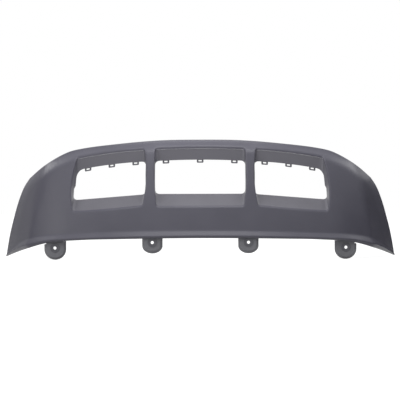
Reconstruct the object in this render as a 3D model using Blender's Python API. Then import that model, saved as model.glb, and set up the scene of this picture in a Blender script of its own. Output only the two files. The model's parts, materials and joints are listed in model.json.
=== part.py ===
"""Lower front bumper cover: a moulded fascia with three windows, their surrounds, snap loops and tabs.

The part stands on its wing tips and its two outer tabs. Its front faces -Y, its width lies along X,
and +Z is up. The sizes below count Y from the lip line at the middle of the part, and the finished
part is moved so that the origin lies on the floor under the middle of its box.
"""

import bmesh
import bpy
import math
from mathutils import Vector
from mathutils.geometry import intersect_point_line

MM = 0.001

# Walls and fits
WALL = 3.0 * MM
CLEARANCE = 0.3 * MM
EDGE_RADIUS = 4.5 * MM

# Plan of the face: a shallow bow, a tightening turn, and a side panel beyond a crease
BOW_RADIUS = 2200 * MM
TURN_START = 430 * MM
TURN_RATE = 0.8
SIDE_SLOPE = 1.2
CREASE_FOOT_X = 568 * MM
CREASE_LEAN = 0.14
CREASE_SOFT_FOOT = 3 * MM
CREASE_SOFT_HEAD = 14 * MM
TIP_X = 671 * MM

# Heights at the middle of the part, each measured up from the one before
LIP_HEIGHT = 97.7 * MM
SILL_RISE = 76.6 * MM
WINDOW_RISE = 200.9 * MM
BAND_RISE = 22.8 * MM
FACE_LEAN = 0.24

# How far the lip line, the top edge and the outer edge run from their start: (along, across)
LIP_FALL = ((0, 0), (260, 4), (393, 10.3), (495, 15.2), (555, 23.8), (608, 44), (671, 84))
TOP_FALL = ((0, 0), (133, 1.8), (266, 12.5), (400, 28), (437, 37), (470, 52.5), (542, 94.5), (564, 105), (587, 123))
OUTER_EDGE_INSET = ((0, 0), (61, 4), (126, 22.5), (186, 42), (229, 61.5), (258, 84))
LIP_TALL = ((0, 21.5), (330, 21.5), (392, 20), (495, 23.5), (563, 30), (608, 28), (671, 13.7))

# Lip section, from the lip line outwards and down, and the return that runs back under it
LIP_REACH = 12 * MM
LIP_ROUND = 4 * MM
LIP_RETURN = 12 * MM
LIP_NOSE_LOW = 0.86
LIP_NOSE_HIGH = 0.68

# Top band and shoulder, where the face leans away towards the top and outer edges
BAND_DEPTH = 22 * MM
BAND_WIDTH = 28 * MM
BAND_FADE_START = 400 * MM
BAND_FADE_END = 540 * MM
BAND_DEPTH_LEFT = 0.35
SHOULDER_DEPTH = 22 * MM
SHOULDER_WIDTH = 32 * MM
SHOULDER_SPAN = 75 * MM
TOP_FLANGE = 30 * MM
TOP_FLANGE_END = 10 * MM
TOP_FLANGE_FALL = 3 * MM

# Windows, at the face
CENTRE_HALF = 149.5 * MM
PILLAR = 25.5 * MM
SIDE_WIDTH = 252 * MM
CELL_MARGIN = 26 * MM
CENTRE_FOOT_DRAW = 9 * MM
CENTRE_HEAD_DRAW = 3 * MM
SIDE_FOOT_DRAW = 12.5 * MM
SIDE_HEAD_DRAW = 6 * MM
OUTER_FOOT_DRAW = 7 * MM
OUTER_HEAD_DRAW = 18.5 * MM
SIDE_SILL_LIFT = 2.5 * MM
SIDE_SILL_FALL = 16.3 * MM
CENTRE_HEAD_BOW = 4 * MM
SIDE_HEAD_DROP = 5.3 * MM
OUTER_HEAD_DROP = 33 * MM
SIDE_HEAD_BOW = 6.5 * MM
SIDE_SILL_BOW = 2 * MM
FRONT_CORNER = 9 * MM

# Window surrounds, from the fascia's return behind its rounded edge to the opening's rear edge
WINDOW_RETURN = 3.5 * MM
SILL_CLIMB = 45.5 * MM
SILL_DEPTH = 50 * MM
SIDE_SILL_CLIMB = 41 * MM
PANEL_DROP = 45 * MM
PANEL_DEPTH = 28 * MM
PILLAR_DEPTH = 14 * MM
PILLAR_DRAFT = 3 * MM
OUTER_DEPTH = 30 * MM
OUTER_DRAFT = 6.5 * MM
BACK_CORNER = 15 * MM
OUTER_BACK_CORNER = 27 * MM
SURROUND_RIM_SLOPE = 0.8

# Snap loops on the recess panels
LOOP_INSET = 37.8 * MM
OUTER_LOOP_INSET = 52 * MM
LOOP_WIDTH = 20.5 * MM
LOOP_LAP = 9 * MM
LOOP_NECK = 1.5 * MM
LOOP_EYE = 5.6 * MM
LOOP_BAR = 3.4 * MM
LOOP_WALL = 3 * MM

# Mounting tabs: place, half width of the plate, height of the hole and foot of the skirt
TAB_WALL = 3 * MM
MID_TAB_X = 156.5 * MM
MID_TAB_HALF = 28.5 * MM
MID_HOLE_Z = 59.2 * MM
MID_TAB_DROP = 24.7 * MM
OUTER_TAB_X = 481 * MM
OUTER_TAB_HALF = 31.5 * MM
OUTER_HOLE_Z = 39.4 * MM
OUTER_TAB_DROP = 28.4 * MM
TAB_FOOT_LAP = 7 * MM
SKIRT_DEPTH = 10 * MM
SKIRT_FLARE = 5 * MM
SKIRT_FALL = 6 * MM
HOLE_RADIUS = 5.5 * MM
SLEEVE_WALL = 1.7 * MM
SLEEVE_FLANGE_RADIUS = 15.5 * MM
SLEEVE_FLANGE_THICK = 1.6 * MM

# Wing flanges behind the outer edges
WING_LAP = 14 * MM
WING_INSET = 4 * MM
WING_DEPTH = 20 * MM
WING_WALL = 2.5 * MM

# Mesh steps, the share of a window's side that a corner's steps take, and rows as shares of a band
WINDOW_LONG_STEPS = 8
WINDOW_TALL_STEPS = 6
ARC_STEPS = 1
CORNER_SHARE_X = 0.05
CORNER_SHARE_Z = 0.1
ROUND_STEPS = 2
SURROUND_STEPS = 3
TAB_SIDE_STEPS = 2
TAB_ARC_STEPS = 10
TAB_TOP_STEPS = 6
HOLE_STEPS = 24
EDGE_SAMPLES = 40
WING_COLUMNS = (1.3, 1.6, 1.85, 2.0, 2.12, 2.4, 2.7, 3.0)
LOWER_ROWS = (0, 0.12, 0.5, 1)
UPPER_ROWS = (0, 0.4, 0.75, 1)
CELL_FOOT_MARGIN = 16 * MM
CELL_HEAD_SHARE = 0.55
SLOPE_STEP = 1 * MM
EDGE_STEP = 0.02
WELD = 0.01 * MM
SHARP_ANGLE = math.radians(35)


def lerp(a, b, t):
    return a + (b - a) * t


def smooth(t):
    """0 below 0, 1 above 1, and an S between."""
    t = min(max(t, 0.0), 1.0)
    return t * t * (3 - 2 * t)


def curve_at(points, along):
    """The smooth curve through points in millimetres, at a distance in metres: cubic between the points."""
    a = min(max(along / MM, points[0][0]), points[-1][0])
    slopes = [(q[1] - p[1]) / (q[0] - p[0]) for p, q in zip(points, points[1:])]
    at_points = [0.0] + [(s + t) / 2 for s, t in zip(slopes, slopes[1:])] + [slopes[-1]]
    for k, (p, q) in enumerate(zip(points, points[1:])):
        if a <= q[0]:
            step = q[0] - p[0]
            t = (a - p[0]) / step
            ease = smooth(t)
            start = at_points[k] * step * t * (1 - t) ** 2
            end = at_points[k + 1] * step * t * t * (t - 1)
            return (lerp(p[1], q[1], ease) + start + end) * MM


def lip_line(x):
    return LIP_HEIGHT - curve_at(LIP_FALL, abs(x))


def lip_tall(x):
    return curve_at(LIP_TALL, abs(x))


def sill_height():
    return LIP_HEIGHT + SILL_RISE


def head_height():
    return sill_height() + WINDOW_RISE


def top_edge(x):
    return head_height() + BAND_RISE - curve_at(TOP_FALL, abs(x))


CORNER_X = TOP_FALL[-1][0] * MM


def outer_edge(t):
    """Point (x, z) of the wing's outer edge: t is 0 at the lip line's tip and 1 at the shoulder corner."""
    foot = lip_line(TIP_X)
    z = lerp(foot, top_edge(CORNER_X), t)
    span = OUTER_EDGE_INSET[-1][0] * MM
    inset = curve_at(OUTER_EDGE_INSET, t * span)
    full = OUTER_EDGE_INSET[-1][1] * MM
    return TIP_X - inset * (TIP_X - CORNER_X) / full, z


def crease_x(z):
    return CREASE_FOOT_X - CREASE_LEAN * (z - lip_line(CREASE_FOOT_X))


def plan(x, z):
    """How far behind the front of the lip line the face lies, before it leans back with height."""
    a = abs(x)
    bow = a * a / (2 * BOW_RADIUS)
    turn = TURN_RATE * max(0.0, a - TURN_START) ** 2
    foot = lip_line(CREASE_FOOT_X)
    soft = lerp(CREASE_SOFT_FOOT, CREASE_SOFT_HEAD, smooth((z - foot) / (head_height() - foot)))
    past = (a - crease_x(z)) / soft
    return bow + turn + SIDE_SLOPE * soft * math.log1p(math.exp(past))


def contour():
    """The top edge from the middle to the shoulder corner, then the outer edge down to the tip."""
    steps = [k / EDGE_SAMPLES for k in range(EDGE_SAMPLES + 1)]
    top = [(CORNER_X * s, top_edge(CORNER_X * s)) for s in steps]
    side = [outer_edge(1 - s) for s in steps[1:]]
    return [Vector((x, z)) for x, z in top + side]


CONTOUR = contour()
SHOULDER = Vector((CORNER_X, top_edge(CORNER_X)))


def edge_roll(x, z):
    """How far the face leans away near its top and outer edges."""
    point = Vector((abs(x), z))
    best = None
    for a, b in zip(CONTOUR, CONTOUR[1:]):
        foot, share = intersect_point_line(point, a, b)
        foot = Vector(foot[:2]) if 0 <= share <= 1 else (a if share < 0 else b)
        gap = (point - foot).length
        if best is None or gap < best[0]:
            best = (gap, foot)
    gap, foot = best
    fade = smooth((foot.x - BAND_FADE_START) / (BAND_FADE_END - BAND_FADE_START))
    band = BAND_DEPTH * lerp(1, BAND_DEPTH_LEFT, fade) * (1 - smooth(gap / BAND_WIDTH))
    near = math.exp(-(((foot - SHOULDER).length / SHOULDER_SPAN) ** 2))
    roll = SHOULDER_DEPTH * near * max(0.0, 1 - gap / SHOULDER_WIDTH) ** 2
    return band + roll


def face_y(x, z):
    return plan(x, z) + FACE_LEAN * (z - lip_line(x)) + edge_roll(x, z)


def face_point(x, z):
    return Vector((x, face_y(x, z), z))


def plan_normal(x, z):
    """Level direction that the face looks in."""
    slope = (plan(x + SLOPE_STEP, z) - plan(x - SLOPE_STEP, z)) / (2 * SLOPE_STEP)
    return Vector((slope, -1, 0)).normalized()


def cell_edge_x():
    return CENTRE_HALF + PILLAR + SIDE_WIDTH + CELL_MARGIN


def layout(column, t):
    """Point (x, z) of the face. Columns run 0 at the middle, 1 past the windows, 2 at the crease and
    3 at the outer edge; t runs 0 at the lip line and 1 at the top edge."""
    edge = cell_edge_x()
    if column <= 1:
        x = column * edge
        return x, lerp(lip_line(x), top_edge(x), t)
    head = crease_x(top_edge(CREASE_FOOT_X))
    if column <= 2:
        low = lerp(edge, CREASE_FOOT_X, column - 1)
        high = lerp(edge, head, column - 1)
        return lerp(low, high, t), lerp(lip_line(low), top_edge(high), t)
    u = column - 2
    low = lerp(CREASE_FOOT_X, TIP_X, u)
    high = lerp(head, CORNER_X, u)
    bottom = Vector((low, lip_line(low)))
    top = Vector((high, top_edge(high)))
    left = Vector(layout(2, t))
    right = Vector(outer_edge(t))
    foot = lerp(Vector(layout(2, 0)), Vector(outer_edge(0)), u)
    crown = lerp(Vector(layout(2, 1)), Vector(outer_edge(1)), u)
    point = lerp(bottom, top, t) + lerp(left, right, u) - lerp(foot, crown, t)
    return point.x, point.y


def cell_rows(column):
    """Where the window cells start and end, as shares of the face's height."""
    x = min(column, 1) * cell_edge_x()
    low = lip_line(x)
    tall = top_edge(x) - low
    outer = smooth((x - CENTRE_HALF) / SIDE_WIDTH)
    foot = sill_height() - low - CELL_FOOT_MARGIN - SIDE_SILL_FALL * outer
    return foot / tall, 1 - CELL_HEAD_SHARE * BAND_RISE / tall


def spaced(steps, margin):
    """Shares from 0 to 1 with the arc steps of both ends packed into a margin."""
    inner = steps - 2 * ARC_STEPS
    start = [margin * k / ARC_STEPS for k in range(ARC_STEPS)]
    middle = [lerp(margin, 1 - margin, k / inner) for k in range(inner + 1)]
    return start + middle + [1 - s for s in reversed(start)]


SHARES_X = spaced(WINDOW_LONG_STEPS, CORNER_SHARE_X)
SHARES_Z = spaced(WINDOW_TALL_STEPS, CORNER_SHARE_Z)


def rounded_outline(corners, bows, radii):
    """Closed outline through four corners, in the order foot-left, foot-right, head-right, head-left.
    Each side bows outwards and each corner is rounded. Points may have any number of coordinates."""
    count = len(corners)

    def side_at(k, t):
        start, end = corners[k], corners[(k + 1) % count]
        return lerp(start, end, t) + bows[k] * (4 * t * (1 - t))

    lengths = [(corners[(k + 1) % count] - corners[k]).length for k in range(count)]

    def corner_at(k, t):
        before = side_at(k - 1, 1 - radii[k] / lengths[k - 1])
        after = side_at(k, radii[k] / lengths[k])
        return lerp(lerp(before, corners[k], t), lerp(corners[k], after, t), t)

    points = []
    for k in range(count):
        shares = SHARES_X if k % 2 == 0 else SHARES_Z
        steps = len(shares) - 1
        first = radii[k] / lengths[k]
        last = 1 - radii[(k + 1) % count] / lengths[k]
        inner = steps - 2 * ARC_STEPS
        for j in range(steps):
            if j < ARC_STEPS:
                points.append(corner_at(k, 0.5 + 0.5 * j / ARC_STEPS))
            elif j <= steps - ARC_STEPS:
                points.append(side_at(k, lerp(first, last, (j - ARC_STEPS) / inner)))
            else:
                left = (steps - j) / ARC_STEPS
                points.append(corner_at((k + 1) % count, 0.5 - 0.5 * left))
    return points


def window_outlines(side):
    """Front outline (x, z) and rear outline (x, z, depth) of the centre or the right-hand window."""
    sill, head = sill_height(), head_height()
    flat = Vector((0, 0))
    if not side:
        foot_x = CENTRE_HALF - CENTRE_FOOT_DRAW
        head_x = CENTRE_HALF - CENTRE_HEAD_DRAW
        corner_z = head - CENTRE_HEAD_BOW
        front = [(-foot_x, sill), (foot_x, sill), (head_x, corner_z), (-head_x, corner_z)]
        swell = CENTRE_HALF - (foot_x + head_x) / 2
        bows = [flat, Vector((swell, 0)), Vector((0, CENTRE_HEAD_BOW)), Vector((-swell, 0))]
        back_x = CENTRE_HALF - PILLAR_DRAFT
        low, high = sill + SILL_CLIMB, corner_z - PANEL_DROP
        dip = PILLAR_DEPTH - (SILL_DEPTH + PANEL_DEPTH) / 2
        back = [(-back_x, low, SILL_DEPTH), (back_x, low, SILL_DEPTH)]
        back += [(back_x, high, PANEL_DEPTH), (-back_x, high, PANEL_DEPTH)]
        back_bows = [(0, 0, 0), (0, 0, dip), (0, CENTRE_HEAD_BOW, 0), (0, 0, dip)]
        back_radii = [BACK_CORNER] * 4
    else:
        inner = CENTRE_HALF + PILLAR
        outer = inner + SIDE_WIDTH
        foot_in, foot_out = inner + SIDE_FOOT_DRAW, outer - OUTER_FOOT_DRAW
        head_in, head_out = inner + SIDE_HEAD_DRAW, outer - OUTER_HEAD_DRAW
        sill_in, sill_out = sill + SIDE_SILL_LIFT, sill - SIDE_SILL_FALL
        top_in, top_out = head - SIDE_HEAD_DROP, head - OUTER_HEAD_DROP
        front = [(foot_in, sill_in), (foot_out, sill_out), (head_out, top_out), (head_in, top_in)]
        swell_out = outer - (foot_out + head_out) / 2
        swell_in = (foot_in + head_in) / 2 - inner
        bows = [Vector((0, -SIDE_SILL_BOW)), Vector((swell_out, 0))]
        bows += [Vector((0, SIDE_HEAD_BOW)), Vector((-swell_in, 0))]
        back_in, back_out = inner + PILLAR_DRAFT, outer - OUTER_DRAFT
        low_in, low_out = sill_in + SIDE_SILL_CLIMB, sill_out + SIDE_SILL_CLIMB
        high_in, high_out = top_in - PANEL_DROP, top_out - PANEL_DROP
        dip_in = PILLAR_DEPTH - (SILL_DEPTH + PANEL_DEPTH) / 2
        dip_out = OUTER_DEPTH - (SILL_DEPTH + PANEL_DEPTH) / 2
        head_back = head_out + PILLAR_DRAFT
        back = [(back_in, low_in, SILL_DEPTH), (back_out, low_out, SILL_DEPTH)]
        back += [(head_back, high_out, PANEL_DEPTH), (back_in, high_in, PANEL_DEPTH)]
        back_bows = [(0, 0, 0), (0, 0, dip_out), (0, SIDE_HEAD_BOW, 0), (0, 0, dip_in)]
        back_radii = [BACK_CORNER, BACK_CORNER, OUTER_BACK_CORNER, BACK_CORNER]
    front_points = rounded_outline([Vector(p) for p in front], bows, [FRONT_CORNER] * 4)
    back_vectors = [Vector(p) for p in back]
    back_points = rounded_outline(back_vectors, [Vector(b) for b in back_bows], back_radii)
    return front_points, back_points


def window_paths(side):
    """For each point round a window: the face point of its outline, its rear point, and the way out
    from the window across the face."""
    front, back = window_outlines(side)
    count = len(front)
    paths = []
    for k, ((x, z), (back_x, back_z, depth)) in enumerate(zip(front, back)):
        along = front[(k + 1) % count] - front[k - 1]
        out = Vector((along.y, -along.x)).normalized()
        rear = Vector((back_x, plan(back_x, back_z) + FACE_LEAN * (back_z - lip_line(back_x)), back_z))
        rear.y += depth
        paths.append((face_point(x, z), rear, out))
    return paths


def window_rings(side):
    """Rings of points from the face, round the window's edge and back along its return."""
    rings = [[] for _ in range(ROUND_STEPS + 2)]
    for face, rear, out in window_paths(side):
        start = face_point(face.x + out.x * EDGE_RADIUS, face.z + out.y * EDGE_RADIUS)
        back = (rear - face).normalized()
        end = face + back * EDGE_RADIUS
        for k in range(ROUND_STEPS + 1):
            t = k / ROUND_STEPS
            rings[k].append(lerp(lerp(start, face, t), lerp(face, end, t), t))
        rings[-1].append(end + back * WINDOW_RETURN)
    return rings


def surround_rings(side):
    """Rings of points round a surround's section: from the fascia's return back to the rear edge of
    the opening on the inside, and forward again on the outside."""
    paths = window_paths(side)
    count = len(paths)
    inside = [[] for _ in range(SURROUND_STEPS + 1)]
    for face, rear, _ in paths:
        start = face + (rear - face).normalized() * (EDGE_RADIUS + WINDOW_RETURN + CLEARANCE)
        for k, ring in enumerate(inside):
            ring.append(lerp(start, rear, k / SURROUND_STEPS))
    outside = []
    for ring in inside:
        offset = []
        for k, (face, rear, _) in enumerate(paths):
            back = (rear - face).normalized()
            out = back.cross(ring[(k + 1) % count] - ring[k - 1]).normalized()
            slant = back * SURROUND_RIM_SLOPE * WALL if ring is inside[0] else Vector()
            offset.append(ring[k] + out * WALL + slant)
        outside.append(offset)
    return inside + outside[::-1] + inside[:1]


def cell_ring(first, last):
    """Points (x, z) round a window's cell, between two columns, in step with the window's outline."""
    columns = [lerp(first, last, s) for s in SHARES_X]
    low_first, high_first = cell_rows(abs(first))
    low_last, high_last = cell_rows(last)

    def at(column, row):
        x, z = layout(abs(column), row)
        return Vector((-x if column < 0 else x, z))

    foot = [at(c, cell_rows(abs(c))[0]) for c in columns]
    head = [at(c, cell_rows(abs(c))[1]) for c in columns]
    right = [at(last, lerp(low_last, high_last, s)) for s in SHARES_Z]
    left = [at(first, lerp(low_first, high_first, s)) for s in SHARES_Z]
    return foot[:-1] + right[:-1] + head[:0:-1] + left[:0:-1]


def add_grid(sheet, rows, closed=False):
    """Quads between rows of points. Rows climb and their points run to the right, seen from the front."""
    grid = [[sheet.verts.new(p) for p in row] for row in rows]
    width = len(rows[0])
    for low, high in zip(grid, grid[1:]):
        for k in range(width if closed else width - 1):
            n = (k + 1) % width
            sheet.faces.new((low[k], low[n], high[n], high[k]))


def make_material(name, colour, roughness):
    material = bpy.data.materials.new(name)
    material.use_nodes = True
    shader = material.node_tree.nodes["Principled BSDF"]
    shader.inputs["Base Color"].default_value = (*colour, 1)
    shader.inputs["Roughness"].default_value = roughness
    return material


def make_object(name, mesh_data, material):
    """Names the sheet or solid in a bmesh, welds its coincident points and links it to the scene."""
    bmesh.ops.remove_doubles(mesh_data, verts=mesh_data.verts, dist=WELD)
    mesh = bpy.data.meshes.new(name)
    mesh_data.to_mesh(mesh)
    mesh_data.free()
    mesh.materials.append(material)
    obj = bpy.data.objects.new(name, mesh)
    bpy.context.scene.collection.objects.link(obj)
    return obj


def thicken(obj, wall, mirrored=False):
    """Gives a sheet its wall, behind the side that shows."""
    if mirrored:
        mirror = obj.modifiers.new("both_halves", "MIRROR")
        mirror.merge_threshold = WELD
    solid = obj.modifiers.new("wall", "SOLIDIFY")
    solid.thickness = wall
    solid.offset = -1
    solid.use_even_offset = True
    solid.use_quality_normals = True
    obj.data.shade_smooth()
    obj.data.set_sharp_from_angle(angle=SHARP_ANGLE)


def reflect(mesh_data):
    """Turns a right-hand piece into a left-hand one."""
    for vert in mesh_data.verts:
        vert.co.x = -vert.co.x
    bmesh.ops.reverse_faces(mesh_data, faces=mesh_data.faces)


def pillar_column():
    return (CENTRE_HALF + PILLAR / 2) / cell_edge_x()


def face_columns():
    """Columns of the right half of the face, from the middle to the outer edge."""
    pillar = pillar_column()
    centre = [lerp(-pillar, pillar, s) for s in SHARES_X[WINDOW_LONG_STEPS // 2 :]]
    centre[0] = 0.0
    side = [lerp(pillar, 1, s) for s in SHARES_X[1:]]
    return centre + side + list(WING_COLUMNS)


def lip_point(column, out, down):
    """Point of the lip, out from the lip line along the plan's normal and down by a share of the lip."""
    x, z = layout(column, 0)
    direction = plan_normal(x, z)
    if column == 0:
        direction = Vector((0, -1, 0))
    return face_point(x, z) + direction * out - Vector((0, 0, down * lip_tall(x)))


LIP_SECTION = (
    (LIP_REACH - LIP_RETURN - LIP_ROUND, 1.0),
    (LIP_REACH - LIP_ROUND, 1.0),
    (LIP_REACH, LIP_NOSE_LOW),
    (LIP_REACH - 0.5 * LIP_ROUND, LIP_NOSE_HIGH),
)


def face_row(columns, row):
    """Row of face points: row is a share of the height, or a function that gives it for a column."""
    shares = [row(c) if callable(row) else row for c in columns]
    return [face_point(*layout(c, s)) for c, s in zip(columns, shares)]


def flange_point(column):
    """Rear edge of the flange that runs back from the top edge, shallower towards the corner."""
    x, z = layout(column, 1)
    narrow = smooth((x - BAND_FADE_START) / (CORNER_X - BAND_FADE_START))
    back = -plan_normal(x, z) * lerp(TOP_FLANGE, TOP_FLANGE_END, narrow)
    if column == 0:
        back.x = 0
    return face_point(x, z) + back - Vector((0, 0, TOP_FLANGE_FALL))


def build_fascia(material):
    sheet = bmesh.new()
    columns = face_columns()
    lower = [[lip_point(c, out, down) for c in columns] for out, down in LIP_SECTION]
    for share in LOWER_ROWS:
        lower.append(face_row(columns, lambda c: share * cell_rows(c)[0]))
    add_grid(sheet, lower)
    upper = []
    for share in UPPER_ROWS:
        upper.append(face_row(columns, lambda c: lerp(cell_rows(c)[1], 1, share)))
    upper.append([flange_point(c) for c in columns])
    add_grid(sheet, upper)
    wing = [c for c in columns if c >= 1]
    add_grid(sheet, [face_row(wing, lambda c: lerp(*cell_rows(c), s)) for s in SHARES_Z])
    pillar = pillar_column()
    for side, first, last in ((False, -pillar, pillar), (True, pillar, 1)):
        cell = cell_ring(first, last)
        rings = window_rings(side)
        middle = [lerp(p, Vector((q.x, q.z)), 0.5) for p, q in zip(cell, rings[0])]
        rows = [[face_point(*p) for p in cell], [face_point(*p) for p in middle], *rings]
        if not side:
            start = WINDOW_LONG_STEPS // 2
            rows = [row[start : start + WINDOW_LONG_STEPS + WINDOW_TALL_STEPS + 1] for row in rows]
            for row in rows:
                row[0].x = row[-1].x = 0
        add_grid(sheet, rows, closed=side)
    thicken(make_object("fascia_skin", sheet, material), WALL, mirrored=True)


def build_surrounds(material):
    for name in ("centre", "right", "left"):
        solid = bmesh.new()
        add_grid(solid, surround_rings(name != "centre"), closed=True)
        if name == "left":
            reflect(solid)
        make_object("window_surround_" + name, solid, material)


def panel_edge(side, x):
    """Rear edge of a recess panel at x, and the direction in which the panel runs down to it."""
    paths = [p for p in window_paths(side) if p[1].z > (sill_height() + head_height()) / 2]
    paths.sort(key=lambda p: p[1].x)
    for (face_a, rear_a, _), (face_b, rear_b, _) in zip(paths, paths[1:]):
        if rear_a.x <= x <= rear_b.x:
            t = (x - rear_a.x) / (rear_b.x - rear_a.x)
            rear = lerp(rear_a, rear_b, t)
            return rear, (rear - lerp(face_a, face_b, t)).normalized(), (rear_b - rear_a).normalized()


def build_loop(name, side, x, mirrored, material):
    """A bent strip behind the recess panel's edge, with an eye in the leg that hangs below it."""
    edge, down, along = panel_edge(side, x)
    out = along.cross(down).normalized()
    if out.y < 0:
        out = -out
    lap = edge + out * (WALL + CLEARANCE)
    hang = Vector((0, 0, -1))
    stations = [lap - down * LOOP_LAP, lap + down * CLEARANCE]
    for drop in (LOOP_NECK, LOOP_EYE, LOOP_BAR):
        stations.append(stations[-1] + hang * drop)
    eye = LOOP_WIDTH / 2 - LOOP_BAR
    offsets = (-LOOP_WIDTH / 2, -eye, eye, LOOP_WIDTH / 2)
    sheet = bmesh.new()
    grid = [[sheet.verts.new(p + along * o) for o in offsets] for p in reversed(stations)]
    for j, (low, high) in enumerate(zip(grid, grid[1:])):
        for k in range(3):
            if (j, k) != (1, 1):
                sheet.faces.new((low[k], low[k + 1], high[k + 1], high[k]))
    if mirrored:
        reflect(sheet)
    thicken(make_object(name, sheet, material), LOOP_WALL)


def build_loops(material):
    centre = CENTRE_HALF - LOOP_INSET
    for place, x in (("left", -centre), ("middle", 0.0), ("right", centre)):
        build_loop("snap_loop_centre_" + place, False, x, False, material)
    inner = CENTRE_HALF + PILLAR + LOOP_INSET
    outer = CENTRE_HALF + PILLAR + SIDE_WIDTH - OUTER_LOOP_INSET
    for hand in ("left", "right"):
        for place, x in (("inner", inner), ("middle", (inner + outer) / 2), ("outer", outer)):
            build_loop(f"snap_loop_{hand}_{place}", True, x, hand == "left", material)


def column_at(x):
    """Column of the lip line at x."""
    edge = cell_edge_x()
    if x <= edge:
        return x / edge
    if x <= CREASE_FOOT_X:
        return 1 + (x - edge) / (CREASE_FOOT_X - edge)
    return 2 + (x - CREASE_FOOT_X) / (TIP_X - CREASE_FOOT_X)


def tab_places():
    """Tab names with their middle, half width, hole height and skirt drop."""
    middle = (MID_TAB_X, MID_TAB_HALF, MID_HOLE_Z, MID_TAB_DROP)
    outer = (OUTER_TAB_X, OUTER_TAB_HALF, OUTER_HOLE_Z, OUTER_TAB_DROP)
    return {"inner": middle, "outer": outer}


def tab_plane(x, half):
    """Y of a tab's front face: just behind the lip's return over the tab's whole width."""
    reach = half + SKIRT_FLARE
    ends = [lip_point(column_at(x + s * reach), *LIP_SECTION[0]).y for s in (-1, -0.5, 0, 0.5, 1)]
    return max(ends) + CLEARANCE


def build_tab(name, place, mirrored, material):
    x, half, hole_z, drop = tab_places()[place]
    front = tab_plane(x, half)
    centre_z = hole_z - drop + half

    def lip_top(at):
        return lip_point(column_at(at), *LIP_SECTION[0]).z + WALL + CLEARANCE

    outline, skirt = [], []
    for s in range(TAB_SIDE_STEPS):
        share = s / TAB_SIDE_STEPS
        z = lerp(lip_top(x - half) - 2 * (WALL + CLEARANCE) - LIP_ROUND, centre_z, share)
        outline.append((x - half, z))
        skirt.append((x - half - SKIRT_FLARE * (0.5 + 0.5 * share), z))
    for s in range(TAB_ARC_STEPS + 1):
        angle = math.pi * (1 + s / TAB_ARC_STEPS)
        outline.append((x + half * math.cos(angle), centre_z + half * math.sin(angle)))
        wide = half + SKIRT_FLARE
        fall = SKIRT_FALL * math.sin(math.pi * s / TAB_ARC_STEPS)
        skirt.append((x + wide * math.cos(angle), centre_z + wide * math.sin(angle) - fall))
    for s in range(1, TAB_SIDE_STEPS + 1):
        share = 1 - s / TAB_SIDE_STEPS
        z = lerp(lip_top(x + half) - 2 * (WALL + CLEARANCE) - LIP_ROUND, centre_z, share)
        outline.append((x + half, z))
        skirt.append((x + half + SKIRT_FLARE * (0.5 + 0.5 * share), z))
    top_xs = [x + half * (1 - 2 * s / TAB_TOP_STEPS) for s in range(TAB_TOP_STEPS + 1)]
    boundary = outline + [(at, lip_top(at)) for at in top_xs]
    hole = []
    for bx, bz in boundary:
        ray = Vector((bx - x, bz - hole_z)).normalized() * (HOLE_RADIUS + SLEEVE_WALL + CLEARANCE)
        hole.append((x + ray.x, hole_z + ray.y))
    sheet = bmesh.new()
    plate = [[Vector((px, front, pz)) for px, pz in ring] for ring in (boundary, hole)]
    add_grid(sheet, plate, closed=True)
    rim = [Vector((px, front + SKIRT_DEPTH, pz)) for px, pz in skirt]
    add_grid(sheet, [rim, [Vector((px, front, pz)) for px, pz in outline]])
    foot = [Vector((at, front, lip_top(at))) for at in reversed(top_xs)]
    toe = [lip_point(column_at(at), *LIP_SECTION[0]) for at in reversed(top_xs)]
    toe = [Vector((p.x, t.y - TAB_FOOT_LAP, p.z)) for p, t in zip(foot, toe)]
    add_grid(sheet, [foot, toe])
    if mirrored:
        reflect(sheet)
    thicken(make_object(name, sheet, material), TAB_WALL)


def build_sleeve(name, place, mirrored, material):
    """A flanged bush through the tab's hole, turned about the hole's axis."""
    x, half, hole_z, _ = tab_places()[place]
    front = tab_plane(x, half)
    tube = HOLE_RADIUS + SLEEVE_WALL
    face = -CLEARANCE - SLEEVE_FLANGE_THICK
    chamfer = SLEEVE_FLANGE_THICK / 2
    profile = [(HOLE_RADIUS, face), (SLEEVE_FLANGE_RADIUS - chamfer, face)]
    profile += [(SLEEVE_FLANGE_RADIUS, face + chamfer), (SLEEVE_FLANGE_RADIUS, -CLEARANCE)]
    profile += [(tube, -CLEARANCE), (tube, TAB_WALL), (HOLE_RADIUS, TAB_WALL)]
    solid = bmesh.new()
    rings = []
    for k in range(HOLE_STEPS):
        angle = 2 * math.pi * k / HOLE_STEPS
        ray = Vector((math.cos(angle), 0, math.sin(angle)))
        rings.append([solid.verts.new(ray * r + Vector((x, front + y, hole_z))) for r, y in profile])
    for a, b in zip(rings, rings[1:] + rings[:1]):
        for k in range(len(profile)):
            n = (k + 1) % len(profile)
            solid.faces.new((a[k], b[k], b[n], a[n]))
    if mirrored:
        reflect(solid)
    bmesh.ops.recalc_face_normals(solid, faces=solid.faces)
    make_object(name, solid, material)


def build_tabs(plate_material, sleeve_material):
    for hand in ("left", "right"):
        for place in ("inner", "outer"):
            build_tab(f"mounting_tab_{hand}_{place}", place, hand == "left", plate_material)
            build_sleeve(f"tab_sleeve_{hand}_{place}", place, hand == "left", sleeve_material)


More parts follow.
